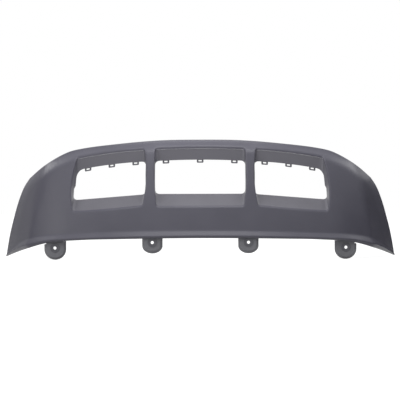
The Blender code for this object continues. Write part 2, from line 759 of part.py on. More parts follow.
def build_wing_flange(hand, material):
    """An angle strip behind the outer edge: one leg stands back from the face, one turns inwards."""
    rows = [[], [], []]
    shares = [lerp(*cell_rows(1), s) for s in SHARES_Z]
    for t in shares:
        edge = face_point(*layout(3, t))
        inward = (face_point(*layout(WING_COLUMNS[-2], t)) - edge).normalized()
        along = face_point(*layout(3, t + EDGE_STEP)) - face_point(*layout(3, t - EDGE_STEP))
        normal = along.cross(inward).normalized()
        seat = edge + inward * WING_INSET - normal * (WALL + 2 * CLEARANCE)
        rows[0].append(seat - normal * WING_DEPTH + inward * WING_LAP)
        rows[1].append(seat - normal * WING_DEPTH)
        rows[2].append(seat)
    sheet = bmesh.new()
    add_grid(sheet, rows)
    if hand == "left":
        reflect(sheet)
    thicken(make_object("wing_flange_" + hand, sheet, material), WING_WALL)


def middle_depth(pieces):
    """Half way between the foremost and the rearmost point of the pieces."""
    graph = bpy.context.evaluated_depsgraph_get()
    ends = [corner[1] for piece in pieces for corner in piece.evaluated_get(graph).bound_box]
    return (min(ends) + max(ends)) / 2


def centre_on_origin():
    """Hangs every piece on an empty and moves it until the part's box is centred on the origin."""
    pieces = list(bpy.context.scene.objects)
    cover = bpy.data.objects.new("bumper_cover", None)
    bpy.context.scene.collection.objects.link(cover)
    cover.location.y = -middle_depth(pieces)
    for piece in pieces:
        piece.parent = cover


def main():
    for obj in list(bpy.data.objects):
        bpy.data.objects.remove(obj, do_unlink=True)
    grained = make_material("grained_polypropylene", (0.095, 0.093, 0.108), 0.55)
    smooth_pp = make_material("smooth_polypropylene", (0.11, 0.108, 0.122), 0.5)
    tab_pp = make_material("tab_polypropylene", (0.12, 0.12, 0.13), 0.55)
    sleeve_pp = make_material("sleeve_nylon", (0.1, 0.1, 0.108), 0.5)
    build_fascia(grained)
    build_surrounds(smooth_pp)
    build_loops(smooth_pp)
    build_tabs(tab_pp, sleeve_pp)
    for hand in ("left", "right"):
        build_wing_flange(hand, tab_pp)
    centre_on_origin()


main()
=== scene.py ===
# %% [markdown]
# # A lower bumper cover in moulded plastic
#
# This is the dark lower half of a car's front bumper: one wide skin with three grille windows, the walls
# that line those windows, nine small loops that the grilles snap into, four screw tabs under the lip, and
# a flange behind each wing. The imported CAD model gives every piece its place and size. Here each piece is
# modelled again with the rounded edges and the even curves of a real moulding, and given its surface.

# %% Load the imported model
import bmesh
import bpy
import json
import math
import numpy as np
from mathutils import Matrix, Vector


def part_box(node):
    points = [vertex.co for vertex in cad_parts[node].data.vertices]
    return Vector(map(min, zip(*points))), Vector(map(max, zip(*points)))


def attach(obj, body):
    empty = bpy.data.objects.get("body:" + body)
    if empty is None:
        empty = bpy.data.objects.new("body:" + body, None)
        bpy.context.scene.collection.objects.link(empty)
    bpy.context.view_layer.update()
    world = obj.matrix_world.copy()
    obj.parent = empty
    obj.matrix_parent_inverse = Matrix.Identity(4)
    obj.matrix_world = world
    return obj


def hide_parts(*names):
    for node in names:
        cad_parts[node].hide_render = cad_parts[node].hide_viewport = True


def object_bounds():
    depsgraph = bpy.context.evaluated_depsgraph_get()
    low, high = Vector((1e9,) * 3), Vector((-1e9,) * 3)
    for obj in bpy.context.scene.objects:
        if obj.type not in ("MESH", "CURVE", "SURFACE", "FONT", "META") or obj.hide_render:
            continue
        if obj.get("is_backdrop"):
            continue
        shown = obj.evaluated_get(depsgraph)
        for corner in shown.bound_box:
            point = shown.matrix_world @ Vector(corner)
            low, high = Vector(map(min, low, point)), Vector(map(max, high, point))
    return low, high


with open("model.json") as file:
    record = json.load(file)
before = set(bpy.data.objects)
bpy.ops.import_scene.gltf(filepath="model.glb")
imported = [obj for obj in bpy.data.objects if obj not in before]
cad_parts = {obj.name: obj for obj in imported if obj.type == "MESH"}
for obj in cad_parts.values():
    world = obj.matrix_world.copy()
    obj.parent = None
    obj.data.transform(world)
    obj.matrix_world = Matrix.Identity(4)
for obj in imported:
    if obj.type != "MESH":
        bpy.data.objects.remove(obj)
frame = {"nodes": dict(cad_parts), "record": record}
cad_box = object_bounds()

MM = 0.001
print("nodes in the frame:", len(frame["nodes"]), "box:", [round(v, 4) for v in cad_box[1] - cad_box[0]])

# %% [markdown]
# ## Curves from a few points
#
# A designer draws the lip, the top edge and the wing's outer edge as a handful of points and lets a spline
# run through them. Blender's curve objects could do that, but every point of the skin needs these curves,
# so a cubic in numpy, which takes whole rows of points at once, is simpler and fast.

# %% Curve helpers


def lerp(a, b, t):
    return a + (b - a) * t


def smooth(t):
    """0 below 0, 1 above 1, and an S between."""
    t = np.clip(t, 0.0, 1.0)
    return t * t * (3 - 2 * t)


def curve_at(points, along):
    """Smooth curve through (along, across) points in millimetres, read at distances in metres."""
    xs, ys = np.array(points, float).T
    a = np.clip(np.asarray(along) / MM, xs[0], xs[-1])
    chords = np.diff(ys) / np.diff(xs)
    slopes = np.concatenate([[0.0], (chords[:-1] + chords[1:]) / 2, chords[-1:]])
    k = np.clip(np.searchsorted(xs, a) - 1, 0, len(xs) - 2)
    step = xs[k + 1] - xs[k]
    t = (a - xs[k]) / step
    bend = slopes[k] * t * (1 - t) ** 2 + slopes[k + 1] * t * t * (t - 1)
    return (lerp(ys[k], ys[k + 1], smooth(t)) + bend * step) * MM


def unit(vectors):
    return vectors / np.linalg.norm(vectors, axis=-1, keepdims=True)


def bend_through(start, corner, end, steps):
    """Rows of points from start to end, rounded past the corner."""
    shares = [k / steps for k in range(steps + 1)]
    return [lerp(lerp(start, corner, t), lerp(corner, end, t), t) for t in shares]


# %% [markdown]
# ## The face as one formula
#
# Seen from above, the cover is a shallow bow that tightens near the windows' outer ends and then breaks at
# a crease into a side panel. Seen from the side, it leans back, and close to its edges it rolls away. If
# the depth of every point follows from its place in the front view, then any net of points laid over that
# view becomes a smooth skin, and the windows, the lip and the band all agree where they meet.

# %% Sizes of the face, in metres
WALL = 3 * MM
CLEARANCE = 0.3 * MM
BOW_RADIUS = 2200 * MM
TURN_START = 430 * MM
TURN_RADIUS = 625 * MM
SIDE_SLOPE = 1.2
CREASE_FOOT_X = 568 * MM
CREASE_LEAN = 0.14
CREASE_SOFT_FOOT = 3 * MM
CREASE_SOFT_HEAD = 14 * MM
TIP_X = 678 * MM
LIP_HEIGHT = 97.7 * MM
SILL_Z = LIP_HEIGHT + 76.6 * MM
HEAD_Z = SILL_Z + 200.9 * MM
BAND_RISE = 22.8 * MM
FACE_LEAN = 0.15
CROWN_RADIUS = 1650 * MM
BAND_DEPTH = 24 * MM
BAND_WIDTH = 40 * MM
BAND_FADE_START = 400 * MM
BAND_FADE_END = 540 * MM
BAND_DEPTH_LEFT = 0.35
SHOULDER_DEPTH = 22 * MM
SHOULDER_WIDTH = 32 * MM
SHOULDER_SPAN = 75 * MM

# How far the lip line, the top edge and the outer edge run from their start, in millimetres
LIP_FALL = ((0, 0), (260, 4), (393, 10.3), (495, 15.2), (555, 23.8), (608, 44), (678, 88.5))
TOP_FALL = ((0, 0), (133, 1.8), (266, 12), (400, 28), (437, 36.5), (470, 51), (542, 93), (587, 123))
OUTER_EDGE_INSET = ((0, 0), (25, 3.2), (80, 14.2), (130, 28.5), (190, 48), (233, 67.5), (262, 91))
CORNER_X = TOP_FALL[-1][0] * MM
EDGE_SAMPLES = 120

# %% Edges and depth of the face


def lip_line(x):
    return LIP_HEIGHT - curve_at(LIP_FALL, np.abs(x))


def top_edge(x):
    return HEAD_Z + BAND_RISE - curve_at(TOP_FALL, np.abs(x))


def outer_edge(t):
    """Points (x, z) of the wing's outer edge, from the lip's tip at 0 to the shoulder corner at 1."""
    span = OUTER_EDGE_INSET[-1][0] * MM
    inset = curve_at(OUTER_EDGE_INSET, t * span)
    return np.stack([TIP_X - inset, lerp(lip_line(TIP_X), top_edge(CORNER_X), t)], -1)


def crease_x(z):
    return CREASE_FOOT_X - CREASE_LEAN * (z - lip_line(CREASE_FOOT_X))


def plan(x, z):
    """How far behind the front of the lip line the face lies, before it leans back with height."""
    a = np.abs(x)
    turn = np.maximum(0.0, a - TURN_START) ** 2 / (2 * TURN_RADIUS)
    foot = lip_line(CREASE_FOOT_X)
    soft = lerp(CREASE_SOFT_FOOT, CREASE_SOFT_HEAD, smooth((z - foot) / (HEAD_Z - foot)))
    past = np.log1p(np.exp((a - crease_x(z)) / soft))
    return a * a / (2 * BOW_RADIUS) + turn + SIDE_SLOPE * soft * past


print("lip line at the tip, mm:", round(float(lip_line(TIP_X)) / MM, 1))

# %% Rolled edges of the face
steps = np.linspace(0, 1, EDGE_SAMPLES + 1)
top_points = np.stack([CORNER_X * steps, top_edge(CORNER_X * steps)], -1)
CONTOUR = np.concatenate([top_points, outer_edge(1 - steps[1:])])
SHOULDER = top_points[-1]


def edge_roll(x, z):
    """How far the face rolls away near its top and outer edges, from the nearest point of the contour."""
    points = np.stack([np.abs(x), z], -1)[..., None, :]
    starts, runs = CONTOUR[:-1], np.diff(CONTOUR, axis=0)
    share = np.clip(((points - starts) * runs).sum(-1) / (runs * runs).sum(-1), 0, 1)
    feet = starts + share[..., None] * runs
    gaps = np.linalg.norm(points - feet, axis=-1)
    nearest = gaps.argmin(-1)[..., None]
    gap = np.take_along_axis(gaps, nearest, -1)[..., 0]
    foot = np.take_along_axis(feet, nearest[..., None], -2)[..., 0, :]
    fade = smooth((foot[..., 0] - BAND_FADE_START) / (BAND_FADE_END - BAND_FADE_START))
    band = BAND_DEPTH * lerp(1, BAND_DEPTH_LEFT, fade) * (1 - smooth(gap / BAND_WIDTH))
    near = np.exp(-((np.linalg.norm(foot - SHOULDER, axis=-1) / SHOULDER_SPAN) ** 2))
    return band + SHOULDER_DEPTH * near * np.maximum(0.0, 1 - gap / SHOULDER_WIDTH) ** 2


print("contour points:", len(CONTOUR), "shoulder corner at x, z:", np.round(SHOULDER, 3))

# %% Points and directions of the face


def lean(x, z):
    """How far the face leans back at a height, more steeply towards the top."""
    rise = z - lip_line(x)
    return FACE_LEAN * rise + rise * rise / (2 * CROWN_RADIUS)


def face_points(flat):
    """Points on the face for places (x, z) in the front view."""
    x, z = flat[..., 0], flat[..., 1]
    return np.stack([x, plan(x, z) + lean(x, z) + edge_roll(x, z), z], -1)


def plan_normal(x, z):
    """Level direction that the face looks in."""
    slope = (plan(x + MM, z) - plan(x - MM, z)) / (2 * MM)
    return unit(np.stack([slope, -np.ones_like(slope), np.zeros_like(slope)], -1))


middle = face_points(np.array([0.0, HEAD_Z]))
print("the face leans back by, mm:", round(float(middle[1]) / MM, 1))

# %% [markdown]
# ## A net laid over the front view
#
# A skin with holes meshes best as a quilt: a block of quads round each window, and plain strips above,
# below and beside them. Columns are counted 0 at the middle, 1 past the windows, 2 at the crease and 3 at
# the outer edge, so neighbouring blocks share their points exactly and can be welded afterwards.

# %% Window sizes and mesh density
CENTRE_HALF = 151.5 * MM
PILLAR = 25.5 * MM
SIDE_WIDTH = 250 * MM
CELL_MARGIN = 26 * MM
CELL_FOOT_MARGIN = 16 * MM
CELL_HEAD_SHARE = 0.55
SIDE_SILL_FALL = 16.3 * MM
CELL_EDGE = CENTRE_HALF + PILLAR + SIDE_WIDTH + CELL_MARGIN
PILLAR_COLUMN = (CENTRE_HALF + PILLAR / 2) / CELL_EDGE
LONG_STEPS = 56
TALL_STEPS = 40
ARC_STEPS = 7
CORNER_SHARE_X = 0.05
CORNER_SHARE_Z = 0.1

# %% Columns, rows and window cells


def layout(column, t):
    """Places (x, z) in the front view; t runs from 0 at the lip line to 1 at the top edge."""
    column, t = np.broadcast_arrays(np.asarray(column, float), np.asarray(t, float))
    head = crease_x(top_edge(CREASE_FOOT_X))
    x = column * CELL_EDGE
    inner = np.stack([x, lerp(lip_line(x), top_edge(x), t)], -1)

    def slanted(u):
        low = lerp(CELL_EDGE, CREASE_FOOT_X, u)
        high = lerp(CELL_EDGE, head, u)
        return np.stack([lerp(low, high, t), lerp(lip_line(low), top_edge(high), t)], -1)

    u = np.clip(column - 2, 0, 1)
    low, high = lerp(CREASE_FOOT_X, TIP_X, u), lerp(head, CORNER_X, u)
    bottom, top = np.stack([low, lip_line(low)], -1), np.stack([high, top_edge(high)], -1)
    foot_crease = np.array([CREASE_FOOT_X, lip_line(CREASE_FOOT_X)])
    head_crease = np.array([head, top_edge(head)])
    uu, tt = u[..., None], t[..., None]
    foot = lerp(foot_crease, outer_edge(0.0), uu)
    crown = lerp(head_crease, outer_edge(1.0), uu)
    wing = lerp(bottom, top, tt) + lerp(slanted(1.0), outer_edge(t), uu) - lerp(foot, crown, tt)
    beyond = np.where(column[..., None] <= 2, slanted(column - 1), wing)
    return np.where(column[..., None] <= 1, inner, beyond)


def cell_rows(column):
    """Where the window cells start and end, as shares of the face's height."""
    x = np.minimum(column, 1) * CELL_EDGE
    low = lip_line(x)
    tall = top_edge(x) - low
    outer = smooth((x - CENTRE_HALF) / SIDE_WIDTH)
    foot = SILL_Z - low - CELL_FOOT_MARGIN - SIDE_SILL_FALL * outer
    return foot / tall, 1 - CELL_HEAD_SHARE * BAND_RISE / tall


print("cells start and end at shares:", [round(float(v), 3) for v in cell_rows(np.array(0.0))])

# %% Rings round the window cells


def spaced(count, margin):
    """Shares from 0 to 1 with the steps of both rounded corners packed into a margin."""
    start = np.linspace(0, margin, ARC_STEPS + 1)[:-1]
    middle = np.linspace(margin, 1 - margin, count - 2 * ARC_STEPS + 1)
    return np.concatenate([start, middle, 1 - start[::-1]])


SHARES_X = spaced(LONG_STEPS, CORNER_SHARE_X)
SHARES_Z = spaced(TALL_STEPS, CORNER_SHARE_Z)


def cell_ring(first, last):
    """Places (x, z) round a window's cell, between two columns, in step with the window's outline."""
    columns = lerp(first, last, SHARES_X)
    low, high = cell_rows(np.abs(columns))

    def at(column, row):
        flat = layout(np.abs(column), row)
        flat[..., 0] *= np.where(column < 0, -1, 1)
        return flat

    foot, head = at(columns, low), at(columns, high)
    right = at(last + 0 * SHARES_Z, lerp(low[-1], high[-1], SHARES_Z))
    left = at(first + 0 * SHARES_Z, lerp(low[0], high[0], SHARES_Z))
    return np.concatenate([foot[:-1], right[:-1], head[:0:-1], left[:0:-1]])


print("points round a cell:", len(cell_ring(PILLAR_COLUMN, 1.0)))

# %% [markdown]
# ## Window outlines
#
# Each window is a funnel. Its front outline lies in the face and its rear outline is the smaller opening
# that the grille fills, so a sill rises to the back, a panel hangs down from the head, and two narrow
# reveals stand at the sides. Both outlines have four bowed sides with rounded corners and the same number
# of points, and joining them point by point gives the funnel's walls. In the photograph the outer reveal of
# each side window steps outwards half-way down, so that edge of the rear outline gets a small jog.

# %% Sizes of the windows
CENTRE_FOOT_DRAW = 9 * MM
CENTRE_HEAD_DRAW = 3 * MM
SIDE_FOOT_DRAW = 12.5 * MM
SIDE_HEAD_DRAW = 6 * MM
OUTER_FOOT_DRAW = 7 * MM
OUTER_HEAD_DRAW = 18.5 * MM
SIDE_SILL_LIFT = 2.5 * MM
CENTRE_HEAD_BOW = 4 * MM
SIDE_HEAD_DROP = 5.3 * MM
OUTER_HEAD_DROP = 33 * MM
SIDE_HEAD_BOW = 4.5 * MM
SIDE_SILL_BOW = 2 * MM
FRONT_CORNER = 9 * MM
SHARP_CORNER = 4 * MM
SILL_CLIMB = 43 * MM
SILL_DEPTH = 50 * MM
SIDE_SILL_CLIMB = 39.5 * MM
PANEL_DROP = 45 * MM
PANEL_DEPTH = 28 * MM
PILLAR_DEPTH = 14 * MM
PILLAR_DRAFT = 3 * MM
OUTER_DEPTH = 30 * MM
OUTER_DRAFT = 6.5 * MM
BACK_CORNER = 15 * MM
OUTER_BACK_CORNER = 27 * MM
JOG_Z = 240 * MM
JOG_IN = 1.2 * MM
JOG_OUT = 3 * MM
JOG_SPAN = 12 * MM
JOG_REACH = 30 * MM

# %% Outlines of the windows


def rounded_outline(corners, bows, radii):
    """Closed outline through four corners: foot-left, foot-right, head-right, head-left."""
    corners, bows = np.array(corners, float), np.array(bows, float)
    lengths = np.linalg.norm(np.roll(corners, -1, 0) - corners, axis=1)

    def side_at(k, t):
        return lerp(corners[k], corners[(k + 1) % 4], t) + bows[k] * (4 * t * (1 - t))

    def corner_at(k, t):
        before = side_at(k - 1, 1 - radii[k] / lengths[k - 1])
        after = side_at(k, radii[k] / lengths[k])
        return lerp(lerp(before, corners[k], t), lerp(corners[k], after, t), t)

    points = []
    for k in range(4):
        count = LONG_STEPS if k % 2 == 0 else TALL_STEPS
        first, last = radii[k] / lengths[k], 1 - radii[(k + 1) % 4] / lengths[k]
        inner = count - 2 * ARC_STEPS
        for j in range(count):
            if j < ARC_STEPS:
                points.append(corner_at(k, 0.5 + 0.5 * j / ARC_STEPS))
            elif j <= count - ARC_STEPS:
                points.append(side_at(k, lerp(first, last, (j - ARC_STEPS) / inner)))
            else:
                points.append(corner_at((k + 1) % 4, 0.5 - 0.5 * (count - j) / ARC_STEPS))
    return np.array(points)


# %% The centre window and the side window


def centre_window():
    foot_x, head_x = CENTRE_HALF - CENTRE_FOOT_DRAW, CENTRE_HALF - CENTRE_HEAD_DRAW
    head = HEAD_Z - CENTRE_HEAD_BOW
    swell = CENTRE_HALF - (foot_x + head_x) / 2
    front = [(-foot_x, SILL_Z), (foot_x, SILL_Z), (head_x, head), (-head_x, head)]
    front_bows = [(0, 0), (swell, 0), (0, CENTRE_HEAD_BOW), (-swell, 0)]
    back_x = CENTRE_HALF - PILLAR_DRAFT
    low, high = SILL_Z + SILL_CLIMB, head - PANEL_DROP
    dip = PILLAR_DEPTH - (SILL_DEPTH + PANEL_DEPTH) / 2
    back = [(-back_x, low, SILL_DEPTH), (back_x, low, SILL_DEPTH)]
    back += [(back_x, high, PANEL_DEPTH), (-back_x, high, PANEL_DEPTH)]
    back_bows = [(0, 0, 0), (0, 0, dip), (0, CENTRE_HEAD_BOW, 0), (0, 0, dip)]
    front_line = rounded_outline(front, front_bows, [FRONT_CORNER] * 4)
    return front_line, rounded_outline(back, back_bows, [BACK_CORNER] * 4)


def side_window():
    inner = CENTRE_HALF + PILLAR
    outer = inner + SIDE_WIDTH
    foot_in, foot_out = inner + SIDE_FOOT_DRAW, outer - OUTER_FOOT_DRAW
    head_in, head_out = inner + SIDE_HEAD_DRAW, outer - OUTER_HEAD_DRAW
    sill_in, sill_out = SILL_Z + SIDE_SILL_LIFT, SILL_Z - SIDE_SILL_FALL
    top_in, top_out = HEAD_Z - SIDE_HEAD_DROP, HEAD_Z - OUTER_HEAD_DROP
    front = [(foot_in, sill_in), (foot_out, sill_out), (head_out, top_out), (head_in, top_in)]
    swell_out, swell_in = outer - (foot_out + head_out) / 2, (foot_in + head_in) / 2 - inner
    front_bows = [(0, -SIDE_SILL_BOW), (swell_out, 0), (0, SIDE_HEAD_BOW), (-swell_in, 0)]
    middle = (SILL_DEPTH + PANEL_DEPTH) / 2
    back_in, back_out = inner + PILLAR_DRAFT, outer - OUTER_DRAFT
    back = [(back_in, sill_in + SIDE_SILL_CLIMB, SILL_DEPTH)]
    back += [(back_out, sill_out + SIDE_SILL_CLIMB, SILL_DEPTH)]
    back += [(head_out + PILLAR_DRAFT, top_out - PANEL_DROP, PANEL_DEPTH)]
    back += [(back_in, top_in - PANEL_DROP, PANEL_DEPTH)]
    back_bows = [(0, 0, 0), (0, 0, OUTER_DEPTH - middle)]
    back_bows += [(0, SIDE_HEAD_BOW, 0), (0, 0, PILLAR_DEPTH - middle)]
    back_radii = [BACK_CORNER, BACK_CORNER, OUTER_BACK_CORNER, BACK_CORNER]
    back_line = rounded_outline(back, back_bows, back_radii)
    near_outer = smooth((back_line[:, 0] - outer + JOG_REACH) / JOG_SPAN)
    below = smooth(0.5 + (JOG_Z - back_line[:, 1]) / JOG_SPAN)
    back_line[:, 0] += near_outer * lerp(-JOG_IN, JOG_OUT, below)
    front_radii = [FRONT_CORNER, FRONT_CORNER, SHARP_CORNER, FRONT_CORNER]
    return rounded_outline(front, front_bows, front_radii), back_line


def window_paths(window):
    """Round a window: points of its outline on the face, its rear points, and the way out of it."""
    front, back = window()
    along = np.roll(front, -1, 0) - np.roll(front, 1, 0)
    out = unit(np.stack([along[:, 1], -along[:, 0]], -1))
    x, z = back[:, 0], back[:, 1]
    depth = plan(x, z) + lean(x, z) + back[:, 2]
    return face_points(front), np.stack([x, depth, z], -1), out


CENTRE_PATHS = window_paths(centre_window)
SIDE_PATHS = window_paths(side_window)
print("points round a window:", len(CENTRE_PATHS[0]))

# %% [markdown]
# ## Materials first
#
# Everything here is injection-moulded plastic, but not all of it looks alike. The visible skin carries a
# fine leather grain etched into the mould, the window linings come off a smoother cavity, the tabs are
# dull, and the screw sleeves are nylon. Grain in a real mould is below a millimetre and would vanish in a
# picture of the whole part, so it is drawn about three times as coarse, and only as deep as the light needs.
#
# An image texture would need unwrapping and a picture of the grain. Procedural nodes need neither, and
# their scale is worked out from a size in millimetres. The Pointiness output tells ridges from hollows:
# ridges get paler, as handling polishes them, and hollows get darker with painted shade.

# %% Colour and node helpers


def hex_colour(text):
    """Linear RGBA from an sRGB hex value."""
    channels = [int(text[k : k + 2], 16) / 255 for k in (1, 3, 5)]
    return [c / 12.92 if c <= 0.04045 else ((c + 0.055) / 1.055) ** 2.4 for c in channels] + [1]


def add_node(tree, kind, settings, inputs):
    """Adds a node with its settings. An input is a value to set, or another node's output to link."""
    node = tree.nodes.new(kind)
    for name, value in settings.items():
        setattr(node, name, value)
    for socket, value in inputs.items():
        if isinstance(value, bpy.types.NodeSocket):
            tree.links.new(value, node.inputs[socket])
        else:
            node.inputs[socket].default_value = value
    return node.outputs


# %% Moulded plastic
# Sockets of the Mix node in its colour mode, which have the same names as those of its other modes
MIX_FACTOR = 0
MIX_A = 6
MIX_B = 7
MIX_RESULT = 2
SPECKLES_PER_GRAIN = 2
CLOUD_SIZE = 90 * MM
CLOUD_LOW = 0.35
CLOUD_HIGH = 0.65
CLOUD_TINT = 0.12
EDGE_FROM = 0.52
EDGE_TO = 0.62
EDGE_WEAR = 0.35
# Concave places, found by their Pointiness, are darkened towards a dark grey: painted shade in the hollows
CREVICE_FROM = 0.49
CREVICE_TO = 0.42
CREVICE_SHADE = 0.6
PAINTED_CREVICE_SHADE = "#1d1d20"
ROUGHNESS_SWING = 0.03
PLASTIC_IOR = 1.49


def moulded_plastic(name, colour, pale, roughness, gloss, grain, relief):
    """Plastic with a grain of the given size and relief in metres, cloudy sheen, worn edges and painted
    shade in hollows.
    """
    material = bpy.data.materials.new(name)
    material.use_nodes = True
    tree = material.node_tree
    shader = tree.nodes["Principled BSDF"]
    place = add_node(tree, "ShaderNodeTexCoord", {}, {})["Object"]
    shape = add_node(tree, "ShaderNodeNewGeometry", {}, {})["Pointiness"]

    pebbles = {"Vector": place, "Scale": 1 / grain}
    cells = add_node(tree, "ShaderNodeTexVoronoi", {"feature": "SMOOTH_F1"}, pebbles)
    speckle = {"Vector": place, "Scale": SPECKLES_PER_GRAIN / grain, "Detail": 2}
    fine = add_node(tree, "ShaderNodeTexNoise", {}, speckle)
    height = add_node(tree, "ShaderNodeMath", {"operation": "ADD"}, {0: cells["Distance"], 1: fine["Fac"]})
    bump = add_node(tree, "ShaderNodeBump", {}, {"Height": height["Value"], "Distance": relief})

    drift = {"Vector": place, "Scale": 1 / CLOUD_SIZE, "Detail": 3}
    clouds = add_node(tree, "ShaderNodeTexNoise", {}, drift)
    cloud = {"Value": clouds["Fac"], "From Min": CLOUD_LOW, "From Max": CLOUD_HIGH}
    tint = add_node(tree, "ShaderNodeMapRange", {}, {**cloud, "To Max": CLOUD_TINT})
    worn = {"Value": shape, "From Min": EDGE_FROM, "From Max": EDGE_TO, "To Max": EDGE_WEAR}
    edge = add_node(tree, "ShaderNodeMapRange", {}, worn)
    share = add_node(tree, "ShaderNodeMath", {"operation": "ADD"}, {0: tint["Result"], 1: edge["Result"]})
    shades = {MIX_FACTOR: share["Value"], MIX_A: hex_colour(colour), MIX_B: hex_colour(pale)}
    unshaded_colour = add_node(tree, "ShaderNodeMix", {"data_type": "RGBA"}, shades)[MIX_RESULT]
    # Painted shade: hollows are mixed towards a dark grey, as if less light reached into them
    hollow = {"Value": shape, "From Min": CREVICE_FROM, "From Max": CREVICE_TO, "To Max": CREVICE_SHADE}
    crevice = add_node(tree, "ShaderNodeMapRange", {}, hollow)
    shades = {MIX_FACTOR: crevice["Result"], MIX_A: unshaded_colour, MIX_B: hex_colour(PAINTED_CREVICE_SHADE)}
    with_painted_shade = add_node(tree, "ShaderNodeMix", {"data_type": "RGBA"}, shades)[MIX_RESULT]
    swing = {**cloud, "To Min": roughness - ROUGHNESS_SWING, "To Max": roughness + ROUGHNESS_SWING}
    sheen = add_node(tree, "ShaderNodeMapRange", {}, swing)

    tree.links.new(with_painted_shade, shader.inputs["Base Color"])
    tree.links.new(sheen["Result"], shader.inputs["Roughness"])
    tree.links.new(bump["Normal"], shader.inputs["Normal"])
    shader.inputs["IOR"].default_value = PLASTIC_IOR
    shader.inputs["Specular IOR Level"].default_value = gloss
    return material


# %% The four plastics
# The skin's mould was etched, which leaves pebbles of about 0.8 mm, and they give a broad, soft sheen. The
# linings' cavity was only polished, so their faint ripple hardly shows. The tabs came off tooling left as
# it was cut, and look dull. The nylon sleeves are smooth and satin. Every grain is coarser than the real
# one, so that it shows.
FINISHES = {
    "grained_polypropylene": moulded_plastic(
        "grained_pp", "#4c4b55", "#605f69", roughness=0.38, gloss=0.35, grain=2.4 * MM, relief=0.04 * MM
    ),
    "smooth_polypropylene": moulded_plastic(
        "smooth_pp", "#605f66", "#727179", roughness=0.36, gloss=0.4, grain=3.0 * MM, relief=0.015 * MM
    ),
    "tab_polypropylene": moulded_plastic(
        "tab_pp", "#75757a", "#85858a", roughness=0.45, gloss=0.3, grain=2.0 * MM, relief=0.03 * MM
    ),
    "sleeve_nylon": moulded_plastic(
        "nylon", "#5a5a60", "#6f6f75", roughness=0.4, gloss=0.4, grain=2.0 * MM, relief=0.015 * MM
    ),
}
SLOTS = {row["node"]: row["material_slot"] for row in frame["record"]["subparts"]}
print("materials:", [material.name for material in FINISHES.values()])

# %% [markdown]
# ## From rows of points to a moulded piece
#
# A moulding is a skin of even thickness. So each piece starts as an open sheet of quads, a Solidify
# modifier gives it its wall behind the side that shows, and a Bevel modifier breaks every sharp rim, as a
# mould does. Hardened normals keep the broad faces flat beside those narrow bevels.

# %% Mesh helpers
LIP_REACH = 12 * MM
LIP_LINE_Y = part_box("fascia_skin")[0].y + LIP_REACH
WELD = 0.02 * MM
RIM_RADIUS = 0.7 * MM
RIM_ANGLE = math.radians(40)
made = []


def add_grid(sheet, rows, closed=False):
    """Quads between rows of points. Rows climb and run to the right, seen from the front."""
    grid = [[sheet.verts.new(p) for p in row] for row in rows]
    width = len(grid[0])
    for low, high in zip(grid, grid[1:]):
        for k in range(width if closed else width - 1):
            n = (k + 1) % width
            sheet.faces.new((low[k], low[n], high[n], high[k]))


def finish_piece(node, sheet, wall=None, both_halves=False, mirrored=False, rim=RIM_RADIUS):
    """Turns a sheet or a solid into the finished piece that stands for a CAD node."""
    bmesh.ops.remove_doubles(sheet, verts=sheet.verts, dist=WELD)
    for vert in sheet.verts:
        vert.co.y += LIP_LINE_Y
    if mirrored:
        bmesh.ops.scale(sheet, vec=(-1, 1, 1), verts=sheet.verts)
        bmesh.ops.reverse_faces(sheet, faces=sheet.faces)
    mesh = bpy.data.meshes.new("finished_" + node)
    sheet.to_mesh(mesh)
    sheet.free()
    mesh.materials.append(FINISHES[SLOTS[node]])
    mesh.shade_smooth()
    piece = bpy.data.objects.new("finished_" + node, mesh)
    bpy.context.scene.collection.objects.link(piece)
    if both_halves:
        mirror = piece.modifiers.new("both_halves", "MIRROR")
        mirror.merge_threshold = WELD
    if wall:
        solid = piece.modifiers.new("wall", "SOLIDIFY")
        solid.thickness = wall
        solid.offset = -1
        solid.use_even_offset = True
        solid.use_quality_normals = True
    bevel = piece.modifiers.new("rims", "BEVEL")
    bevel.width = rim
    bevel.segments = 2
    bevel.limit_method = "ANGLE"
    bevel.angle_limit = RIM_ANGLE
    bevel.harden_normals = True
    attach(piece, "root")
    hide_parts(node)
    made.append(piece)
    return piece


# %% [markdown]
# ## The fascia skin
#
# The skin is the piece that everyone sees: a lip that flares out at the foot, a leaning face, the windows
# with their rounded edges, and a top band that rolls back into a flange. Its lip is drawn as a section of
# a few corners, rounded and then swept along the lip line, because a real lip keeps its section.

# %% Lip section
# The lip's height along the part, and the corners of its section, out and down, all in millimetres
LIP_TALL = ((0, 24), (275, 23), (380, 20.6), (495, 24), (563, 30), (608, 26), (678, 8))
TIP_FLARE = 0.3
FLARE_FADE = (600 * MM, 678 * MM)
LIP_CORNERS = ((-4, 24), (5.5, 24), (12.6, 17), (0, 0))
LIP_RADII = (4.0, 4.5)
LIP_FILLET = 4 * MM
FILLET_STEPS = 6
LIP_TOP_STEPS = 4


def rounded_section(corners, radii):
    """Points (out, down) along a section whose inner corners are rounded to the given radii."""
    corners = np.array(corners, float)
    points = [corners[:1]]
    for before, corner, after, radius in zip(corners, corners[1:], corners[2:], radii):
        to_before, to_after = unit(before - corner), unit(after - corner)
        half = math.acos(np.clip(to_before @ to_after, -1, 1)) / 2
        cut = radius / math.tan(half)
        start, end = corner + to_before * cut, corner + to_after * cut
        points.append(np.array(bend_through(start, corner, end, FILLET_STEPS)))
    return np.concatenate(points)


LIP_SECTION = rounded_section(LIP_CORNERS, LIP_RADII) * MM
LIP_NOMINAL = LIP_TALL[0][1] * MM
print("points in the lip's section:", len(LIP_SECTION))

# %% Rows along the lip


